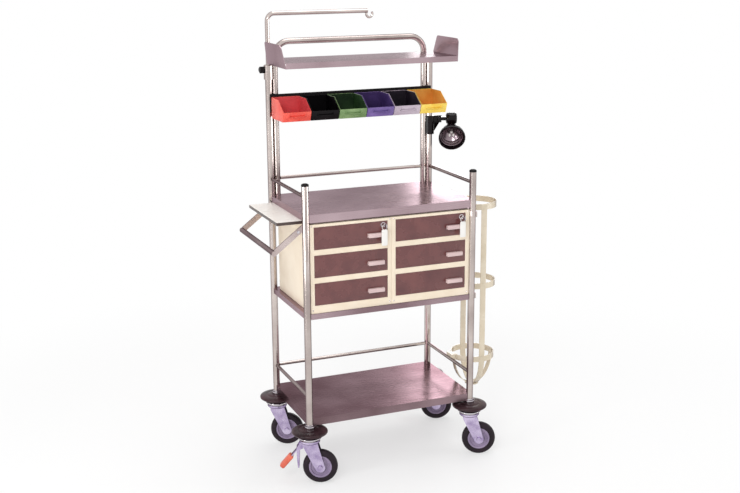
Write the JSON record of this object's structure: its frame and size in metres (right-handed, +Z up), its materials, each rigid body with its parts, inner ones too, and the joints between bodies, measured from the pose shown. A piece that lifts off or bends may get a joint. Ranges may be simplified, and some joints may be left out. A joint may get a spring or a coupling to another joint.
{
  "type": "crash cart",
  "caption": "Wheeled hospital crash cart with lockable drawers, a hooped top shelf, clip-on bins, a drip rod, a lamp, a pull-out board and a cylinder cage.",
  "frame": {"origin": "on the floor, midway between the four posts", "axes": "+X to the right seen from the drawer fronts, +Y to the rear, +Z up"},
  "size_m": [0.941, 0.4988, 1.6415],
  "materials": {
    "steel": "brushed stainless tube and sheet",
    "caster_metal": "bright zinc plated pressing",
    "black_plastic": "black moulded bin",
    "black_rubber": "black rubber",
    "cream_plastic": "cream moulding, satin",
    "cream_paint": "cream enamel on flat bar",
    "smoked_plastic": "dark brown smoked plastic",
    "pale_plastic": "pale moulding",
    "white_plastic": "white tag",
    "brass_key": "worn plated brass",
    "board_laminate": "pale laminate, dark edge",
    "handle_metal": "brushed flat bar and tube",
    "red_paint": "red pedal",
    "red_plastic": "red moulded bin",
    "green_plastic": "green moulded bin",
    "blue_plastic": "blue moulded bin",
    "grey_plastic": "grey moulded bin",
    "yellow_plastic": "yellow moulded bin"
  },
  "bodies": {
    "cart": {"left_end_frame": "steel", "right_end_frame": "steel", "worktop_rear_rail": "steel", "base_rear_rail": "steel", "shelf_hoop": "steel", "worktop": "steel", "base_shelf": "steel", "unit_tray": "steel", "top_shelf": "steel", "rod_clamp": "steel", "front_left_cap": "black_plastic", "front_right_cap": "black_plastic", "bin_rail": "black_plastic", "lamp_bracket": "black_plastic", "left_unit": "cream_plastic", "right_unit": "cream_plastic", "cylinder_cage": "cream_paint", "cylinder_basket": "cream_paint", "push_handle": "handle_metal", "front_left_buffer": "black_rubber", "front_right_buffer": "black_rubber", "rear_left_buffer": "black_rubber", "rear_right_buffer": "black_rubber"},
    "left_bottom_drawer": {"left_bottom_drawer": "smoked_plastic", "left_bottom_pull": "pale_plastic"},
    "left_middle_drawer": {"left_middle_drawer": "smoked_plastic", "left_middle_pull": "pale_plastic"},
    "left_top_drawer": {"left_top_drawer": "smoked_plastic", "left_top_pull": "pale_plastic", "left_top_tag": "white_plastic"},
    "left_top_key": {"left_top_key": "brass_key"},
    "right_bottom_drawer": {"right_bottom_drawer": "smoked_plastic", "right_bottom_pull": "pale_plastic"},
    "right_middle_drawer": {"right_middle_drawer": "smoked_plastic", "right_middle_pull": "pale_plastic"},
    "right_top_drawer": {"right_top_drawer": "smoked_plastic", "right_top_pull": "pale_plastic", "right_top_tag": "white_plastic"},
    "right_top_key": {"right_top_key": "brass_key"},
    "red_bin": {"red_bin": "red_plastic"},
    "black_bin": {"black_bin": "black_plastic"},
    "green_bin": {"green_bin": "green_plastic"},
    "blue_bin": {"blue_bin": "blue_plastic"},
    "grey_bin": {"grey_bin": "grey_plastic"},
    "yellow_bin": {"yellow_bin": "yellow_plastic"},
    "drip_rod": {"drip_rod": "steel"},
    "clamp_knob": {"clamp_knob": "black_plastic"},
    "lamp_arm": {"lamp_arm": "black_plastic"},
    "lamp_head": {"lamp_head": "black_plastic"},
    "massage_board": {"massage_board": "board_laminate"},
    "front_left_fork": {"front_left_fork": "caster_metal"},
    "front_left_wheel": {"front_left_wheel": "black_rubber"},
    "front_left_brake_pedal": {"front_left_brake_pedal": "red_paint"},
    "front_right_fork": {"front_right_fork": "caster_metal"},
    "front_right_wheel": {"front_right_wheel": "black_rubber"},
    "rear_left_fork": {"rear_left_fork": "caster_metal"},
    "rear_left_wheel": {"rear_left_wheel": "black_rubber"},
    "rear_right_fork": {"rear_right_fork": "caster_metal"},
    "rear_right_wheel": {"rear_right_wheel": "black_rubber"},
    "rear_right_brake_pedal": {"rear_right_brake_pedal": "red_paint"}
  },
  "joints": [
    {"name": "left_bottom_drawer_slide", "type": "slide", "parent": "cart", "child": "left_bottom_drawer", "axis": [0, -1, 0], "range_m": [0, 0.26]},
    {"name": "left_middle_drawer_slide", "type": "slide", "parent": "cart", "child": "left_middle_drawer", "axis": [0, -1, 0], "range_m": [0, 0.26]},
    {"name": "left_top_drawer_slide", "type": "slide", "parent": "cart", "child": "left_top_drawer", "axis": [0, -1, 0], "range_m": [0, 0.26]},
    {"name": "left_top_key_turn", "type": "hinge", "parent": "left_top_drawer", "child": "left_top_key", "pos_m": [-0.03365, -0.187, 0.9212], "axis": [0, 1, 0], "range_deg": [0, 90]},
    {"name": "right_bottom_drawer_slide", "type": "slide", "parent": "cart", "child": "right_bottom_drawer", "axis": [0, -1, 0], "range_m": [0, 0.26]},
    {"name": "right_middle_drawer_slide", "type": "slide", "parent": "cart", "child": "right_middle_drawer", "axis": [0, -1, 0], "range_m": [0, 0.26]},
    {"name": "right_top_drawer_slide", "type": "slide", "parent": "cart", "child": "right_top_drawer", "axis": [0, -1, 0], "range_m": [0, 0.26]},
    {"name": "right_top_key_turn", "type": "hinge", "parent": "right_top_drawer", "child": "right_top_key", "pos_m": [0.2712, -0.187, 0.9212], "axis": [0, 1, 0], "range_deg": [0, 90]},
    {"name": "red_bin_lift", "type": "slide", "parent": "cart", "child": "red_bin", "axis": [0, 0, 1], "range_m": [0, 0.06]},
    {"name": "black_bin_lift", "type": "slide", "parent": "cart", "child": "black_bin", "axis": [0, 0, 1], "range_m": [0, 0.06]},
    {"name": "green_bin_lift", "type": "slide", "parent": "cart", "child": "green_bin", "axis": [0, 0, 1], "range_m": [0, 0.06]},
    {"name": "blue_bin_lift", "type": "slide", "parent": "cart", "child": "blue_bin", "axis": [0, 0, 1], "range_m": [0, 0.06]},
    {"name": "grey_bin_lift", "type": "slide", "parent": "cart", "child": "grey_bin", "axis": [0, 0, 1], "range_m": [0, 0.06]},
    {"name": "yellow_bin_lift", "type": "slide", "parent": "cart", "child": "yellow_bin", "axis": [0, 0, 1], "range_m": [0, 0.06]},
    {"name": "drip_rod_slide", "type": "slide", "parent": "cart", "child": "drip_rod", "axis": [0, 0, 1], "range_m": [-0.05, 0.35]},
    {"name": "clamp_knob_turn", "type": "hinge", "parent": "cart", "child": "clamp_knob", "pos_m": [-0.3344, 0.185, 1.437], "axis": [-1, 0, 0], "range_deg": [-180, 180]},
    {"name": "lamp_arm_swing", "type": "hinge", "parent": "cart", "child": "lamp_arm", "pos_m": [0.3575, 0.185, 1.221], "axis": [0, 0, 1], "range_deg": [-25, 75]},
    {"name": "lamp_head_tilt", "type": "hinge", "parent": "lamp_arm", "child": "lamp_head", "pos_m": [0.40386, 0.16627, 1.221], "axis": [0.9272, -0.3746, 0], "range_deg": [-35, 35]},
    {"name": "massage_board_slide", "type": "slide", "parent": "cart", "child": "massage_board", "axis": [-1, 0, 0], "range_m": [-0.09, 0.3]},
    {"name": "front_left_swivel", "type": "hinge", "parent": "cart", "child": "front_left_fork", "pos_m": [-0.3175, -0.185, 0.165], "axis": [0, 0, 1], "continuous": true},
    {"name": "front_left_roll", "type": "hinge", "parent": "front_left_fork", "child": "front_left_wheel", "pos_m": [-0.28424, -0.19878, 0.0625], "axis": [0.3827, 0.9239, 0], "continuous": true},
    {"name": "front_left_brake_press", "type": "hinge", "parent": "front_left_fork", "child": "front_left_brake_pedal", "pos_m": [-0.35446, -0.16969, 0.135], "axis": [-0.3827, -0.9239, 0], "range_deg": [0, 9]},
    {"name": "front_right_swivel", "type": "hinge", "parent": "cart", "child": "front_right_fork", "pos_m": [0.3175, -0.185, 0.165], "axis": [0, 0, 1], "continuous": true},
    {"name": "front_right_roll", "type": "hinge", "parent": "front_right_fork", "child": "front_right_wheel", "pos_m": [0.35076, -0.19878, 0.0625], "axis": [0.3827, 0.9239, 0], "continuous": true},
    {"name": "rear_left_swivel", "type": "hinge", "parent": "cart", "child": "rear_left_fork", "pos_m": [-0.3175, 0.185, 0.165], "axis": [0, 0, 1], "continuous": true},
    {"name": "rear_left_roll", "type": "hinge", "parent": "rear_left_fork", "child": "rear_left_wheel", "pos_m": [-0.28424, 0.17122, 0.0625], "axis": [0.3827, 0.9239, 0], "continuous": true},
    {"name": "rear_right_swivel", "type": "hinge", "parent": "cart", "child": "rear_right_fork", "pos_m": [0.3175, 0.185, 0.165], "axis": [0, 0, 1], "continuous": true},
    {"name": "rear_right_roll", "type": "hinge", "parent": "rear_right_fork", "child": "rear_right_wheel", "pos_m": [0.35076, 0.17122, 0.0625], "axis": [0.3827, 0.9239, 0], "continuous": true},
    {"name": "rear_right_brake_press", "type": "hinge", "parent": "rear_right_fork", "child": "rear_right_brake_pedal", "pos_m": [0.28054, 0.20031, 0.135], "axis": [-0.3827, -0.9239, 0], "range_deg": [0, 9]}
  ]
}
